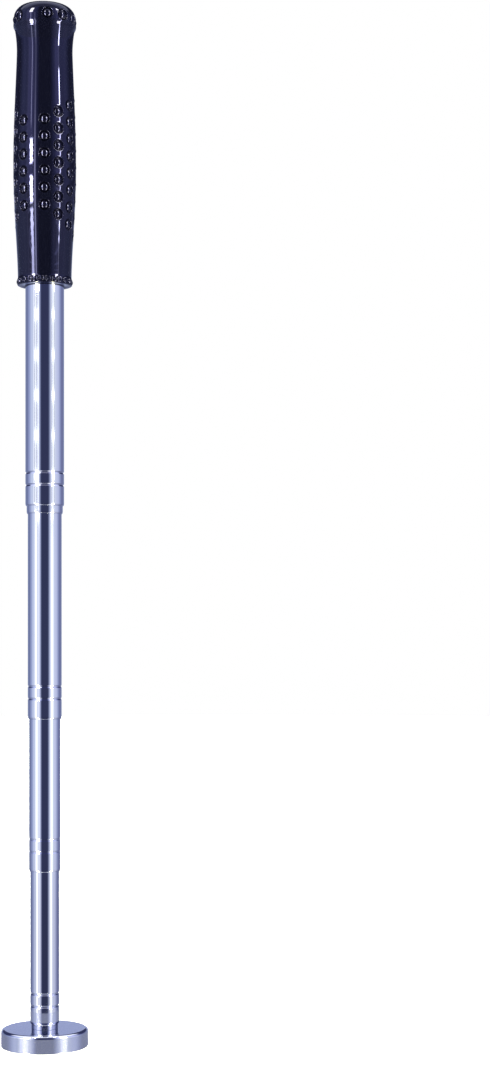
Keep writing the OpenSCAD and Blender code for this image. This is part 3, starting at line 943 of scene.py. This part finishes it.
dot = dot_tile(column_w, ROW_STEP, CELLS, DOT_HOLE, DOT_RINGS)
plain = plain_tile(column_w, ROW_STEP, CELLS)
half = plain_tile(column_w, ROW_STEP / 2, CELLS, CELLS // 2)
strip = plain_tile(strip_w, ROW_STEP, CELLS // 2, CELLS)
skin_tiles = []
half_rows = FIELD_ROWS / 2
for side in (-1, 1):
    for number, dots in enumerate(COLUMN_DOTS):
        x = side * (STRIP_HALF + COLUMN_STEP * (number + 0.5)) * TO_ARC
        shifted = dots % 2 == 0
        rows = FIELD_ROWS - shifted
        for row in range(rows):
            y = (row - (rows - 1) / 2) * ROW_STEP
            has_dot = abs(row - (rows - 1) / 2) < dots / 2
            skin_tiles.append(lay(dot if has_dot else plain, x, y))
        if shifted:
            for end in (-1, 1):
                skin_tiles.append(lay(half, x, end * (half_rows - 0.25) * ROW_STEP))
for x in (0, 180 * TO_ARC):
    for row in range(FIELD_ROWS):
        skin_tiles.append(lay(strip, x, (row - (FIELD_ROWS - 1) / 2) * ROW_STEP))
body_skin = stitch(skin_tiles, "body_skin")
print(len(skin_tiles), "tiles,", len(body_skin.data.vertices), "vertices")

# %% [markdown]
# ## Rolling the skin round the grip
#
# By hand, Simple Deform would bend the flat skin into a tube and proportional editing would
# swell its belly. The belly's curve is known here, so a short function does both: X becomes the
# angle, Y the height, and Z stands out from the side.

# %% Roll
STRIP_AZIMUTH = -22.2
FIELD_DROP = 0.1
BELLY_MIDDLE = BELLY_H - FIELD_DROP


def roll(skin, middle, azimuth, spread_r, outline):
    """Rolls a flat skin round the grip; middle is its height above the grip's lower end."""
    zero = math.radians(azimuth) - math.pi / 2 + view_azimuth
    for v in skin.data.vertices:
        angle = zero + v.co.x / MM / spread_r
        h = middle + v.co.y / MM
        r = outline(h) * MM + v.co.z
        v.co = (r * math.cos(angle), r * math.sin(angle), (grip_low + h) * MM)
    take(skin)
    close_seams()


roll(body_skin, BELLY_MIDDLE, STRIP_AZIMUTH, SPREAD_R, side_radius)
print("smooth strip at", STRIP_AZIMUTH, "degrees from the camera")

# %% [markdown]
# ## Pommel and rim
#
# The pommel has a ring of dots, with none where the smooth strips run up it, and the rim has a
# ring of small beads. They are laid and rolled in the same way, with tiles that divide the full
# turn evenly.

# %% Rings of tiles
POMMEL_DOTS = 12
POMMEL_DOT_H = 109.8
POMMEL_DOT_AZIMUTH = 5
TILES_ON_STRIPS = (5, 11)
BEADS = 24
BEAD_H = 1.5
BEAD_ROW = 2.7
RIM_ROUNDING = 0.3


def tile_ring(name, tiles, width, middle, azimuth, outline):
    """A ring of tiles of one width round the grip; the first is at the azimuth."""
    count = len(tiles)
    tiles = [lay(tile, i * width, 0) for i, tile in enumerate(tiles)]
    ring = stitch(tiles, name)
    roll(ring, middle, azimuth, count * width / (2 * math.pi), outline)
    return ring


def rim_radius(h):
    """Radius of the rim, rounded towards both of its edges."""
    return RIM_R - RIM_ROUNDING * abs((h - BEAD_H) / (BEAD_ROW / 2)) ** 4


pommel_w = 2 * math.pi * POMMEL_R / POMMEL_DOTS
pommel_tile = dot_tile(pommel_w, ROW_STEP, CELLS, DOT_HOLE, DOT_RINGS)
pommel_plain = plain_tile(pommel_w, ROW_STEP, CELLS)
pommel_tiles = [pommel_plain if i in TILES_ON_STRIPS else pommel_tile for i in range(POMMEL_DOTS)]
pommel = tile_ring("pommel_skin", pommel_tiles, pommel_w, POMMEL_DOT_H, POMMEL_DOT_AZIMUTH, side_radius)

bead_w = 2 * math.pi * RIM_R / BEADS
bead_tile = dot_tile(bead_w, BEAD_ROW, BEAD_CELLS, BEAD_HOLE, BEAD_RINGS)
rim = tile_ring("rim_skin", [bead_tile] * BEADS, bead_w, BEAD_H, 0, rim_radius)
for tile in (dot, plain, half, strip, pommel_tile, pommel_plain, bead_tile):
    bpy.data.objects.remove(tile)
print("pommel tile", round(pommel_w, 2), "mm, bead tile", round(bead_w, 2), "mm")

# %% [markdown]
# ## Closing the grip
#
# What lies between the three rings is plain and round. An open edge is extruded from station to
# station and scaled about the axis: over the crown to its centre, down the flare, and under the
# rim into the bore. Bridge then joins ring to ring, as the rings have different numbers of
# edges.

# %% Extrude the rings
LEVEL_ROUNDING = 0.2 * MM


def select_open_edge(piece, h):
    """Selects the open edge at a height above the grip's lower end; returns its radius."""
    take(piece)
    bpy.ops.object.mode_set(mode="EDIT")
    bpy.ops.mesh.select_mode(type="EDGE")
    bpy.ops.mesh.select_all(action="DESELECT")
    bpy.ops.mesh.select_non_manifold()
    bpy.ops.object.mode_set(mode="OBJECT")
    mesh = piece.data
    level = (grip_low + h) * MM
    open_edges = [e for e in mesh.edges if e.select]
    at_level = [abs(v.co.z - level) < LEVEL_ROUNDING for v in mesh.vertices]
    near = [e for e in open_edges if all(at_level[i] for i in e.vertices)]
    for v in mesh.vertices:
        v.select = False
    for e in open_edges:
        e.select = False
    for e in near:
        e.select = True
        for i in e.vertices:
            mesh.vertices[i].select = True
    corner = mesh.vertices[near[0].vertices[0]].co
    bpy.ops.object.mode_set(mode="EDIT")
    return math.hypot(corner.x, corner.y) / MM


def draw_out(piece, h, stations, close=False):
    """Extrudes the open edge at height h through stations of (radius, height)."""
    radius = select_open_edge(piece, h)
    for next_radius, next_h in stations:
        bpy.ops.mesh.extrude_region_move(TRANSFORM_OT_translate={"value": (0, 0, (next_h - h) * MM)})
        size = next_radius / radius
        bpy.ops.transform.resize(value=(size, size, 1), center_override=(0, 0, 0))
        radius, h = next_radius, next_h
    if close:
        bpy.ops.mesh.extrude_region_move()
        bpy.ops.mesh.merge(type="CENTER")
    bpy.ops.object.mode_set(mode="OBJECT")


grip_h = grip_high - grip_low
EDGE_ENDS = math.radians(84)
EDGE_STATIONS, TOP_STATIONS, FLARE_STATIONS = 9, 8, 16
pommel_top = POMMEL_DOT_H + ROW_STEP / 2
pommel_foot = POMMEL_DOT_H - ROW_STEP / 2
first = math.asin((pommel_top - SHOULDER_H) / EDGE_UP)
turns = [first + (EDGE_ENDS - first) * (i + 1) / EDGE_STATIONS for i in range(EDGE_STATIONS)]
crown = [(POMMEL_R - EDGE_IN * (1 - math.cos(a)), SHOULDER_H + EDGE_UP * math.sin(a)) for a in turns]
edge_r, edge_h = crown[-1]
for i in range(1, TOP_STATIONS):
    out = 1 - i / TOP_STATIONS
    crown.append((edge_r * out, edge_h + (grip_h - edge_h) * (1 - out ** 2)))
draw_out(pommel, pommel_top, crown, close=True)

body_top = BELLY_MIDDLE + FIELD_ROWS * ROW_STEP / 2
body_foot = BELLY_MIDDLE - FIELD_ROWS * ROW_STEP / 2
flare_step = (pommel_foot - body_top) / (FLARE_STATIONS + 1)
flare = [pommel_foot - flare_step * (i + 1) for i in range(FLARE_STATIONS)]
draw_out(pommel, pommel_foot, [(side_radius(h), h) for h in flare])

BORE_PLAY = 0.02
PLUG_PLAY = 0.1
BORE_EDGE = 0.3
bore_r = r_1 + BORE_PLAY
bore_top = high("tube_end_plug") + PLUG_PLAY - grip_low
rim_foot = BEAD_H - BEAD_ROW / 2
rim_top = BEAD_H + BEAD_ROW / 2
under_rim = [(RIM_R - 0.55, 0.03), (RIM_R - 0.9, 0), (bore_r + BORE_EDGE, 0), (bore_r, BORE_EDGE)]
draw_out(rim, rim_foot, under_rim + [(bore_r, bore_top)], close=True)
over_rim = [(FOOT_R + 0.08, RIM_H - 0.15), (FOOT_R, RIM_H)]
draw_out(rim, rim_top, over_rim)
print("stations on the crown:", len(crown), "and on the flare:", len(flare))

# %% Bridge the rings
SHARP_ON_GRIP = math.radians(50)


def bridge(piece, h_a, h_b):
    """Joins the two open edges at these heights."""
    select_open_edge(piece, h_a)
    bpy.ops.object.mode_set(mode="OBJECT")
    kept = [e.index for e in piece.data.edges if e.select]
    select_open_edge(piece, h_b)
    bpy.ops.object.mode_set(mode="OBJECT")
    for i in kept:
        piece.data.edges[i].select = True
        for corner in piece.data.edges[i].vertices:
            piece.data.vertices[corner].select = True
    bpy.ops.object.mode_set(mode="EDIT")
    bpy.ops.mesh.bridge_edge_loops()
    bpy.ops.object.mode_set(mode="OBJECT")


take(body_skin, pommel, rim)
bpy.ops.object.join()
grip = settle(bpy.context.object, "grip_dotted")
bridge(grip, flare[-1], body_top)
bridge(grip, RIM_H, body_foot)
take(grip)
bpy.ops.object.mode_set(mode="EDIT")
bpy.ops.mesh.select_all(action="SELECT")
bpy.ops.mesh.normals_make_consistent(inside=False)
bpy.ops.mesh.select_all(action="DESELECT")
bpy.ops.mesh.select_non_manifold()
bpy.ops.object.mode_set(mode="OBJECT")
print("open edges left on the grip:", sum(e.select for e in grip.data.edges))
take(grip)
bpy.ops.object.shade_smooth_by_angle(angle=SHARP_ON_GRIP)
fit(grip, "handle", "soft_vinyl", soft_vinyl, "grip_sleeve")

# %% [markdown]
# ## The hidden works
#
# The magnet, its screw, the friction shells and the plugs are right as the CAD model has them.
# They keep their meshes and get their finishes here.

# %% Finishes of the CAD pieces
shells = [f"friction_shell_{n}_{side}" for n in (2, 3, 4) for side in ("left", "right")]
FINISHES = [
    (ferrite, ["ring_magnet"]), (resin, ["resin_ring"]), (brass_sleeve, ["centring_sleeve"]),
    (zinc_screw, ["centre_screw"]), (spring_steel, ["lock_washer"]), (turned_steel, ["foot_insert"]),
    (spring_brass, shells), (natural_nylon, ["tail_plug", "mouth_bush"]), (black_plug, ["tube_end_plug"]),
]
for material, names in FINISHES:
    for name in names:
        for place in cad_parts[name].material_slots:
            place.material = material
print(sum(len(names) for _, names in FINISHES), "CAD pieces finished")

# %% [markdown]
# ## The last look
#
# Nothing stays selected at the end.

# %% Finish the scene
let_go()
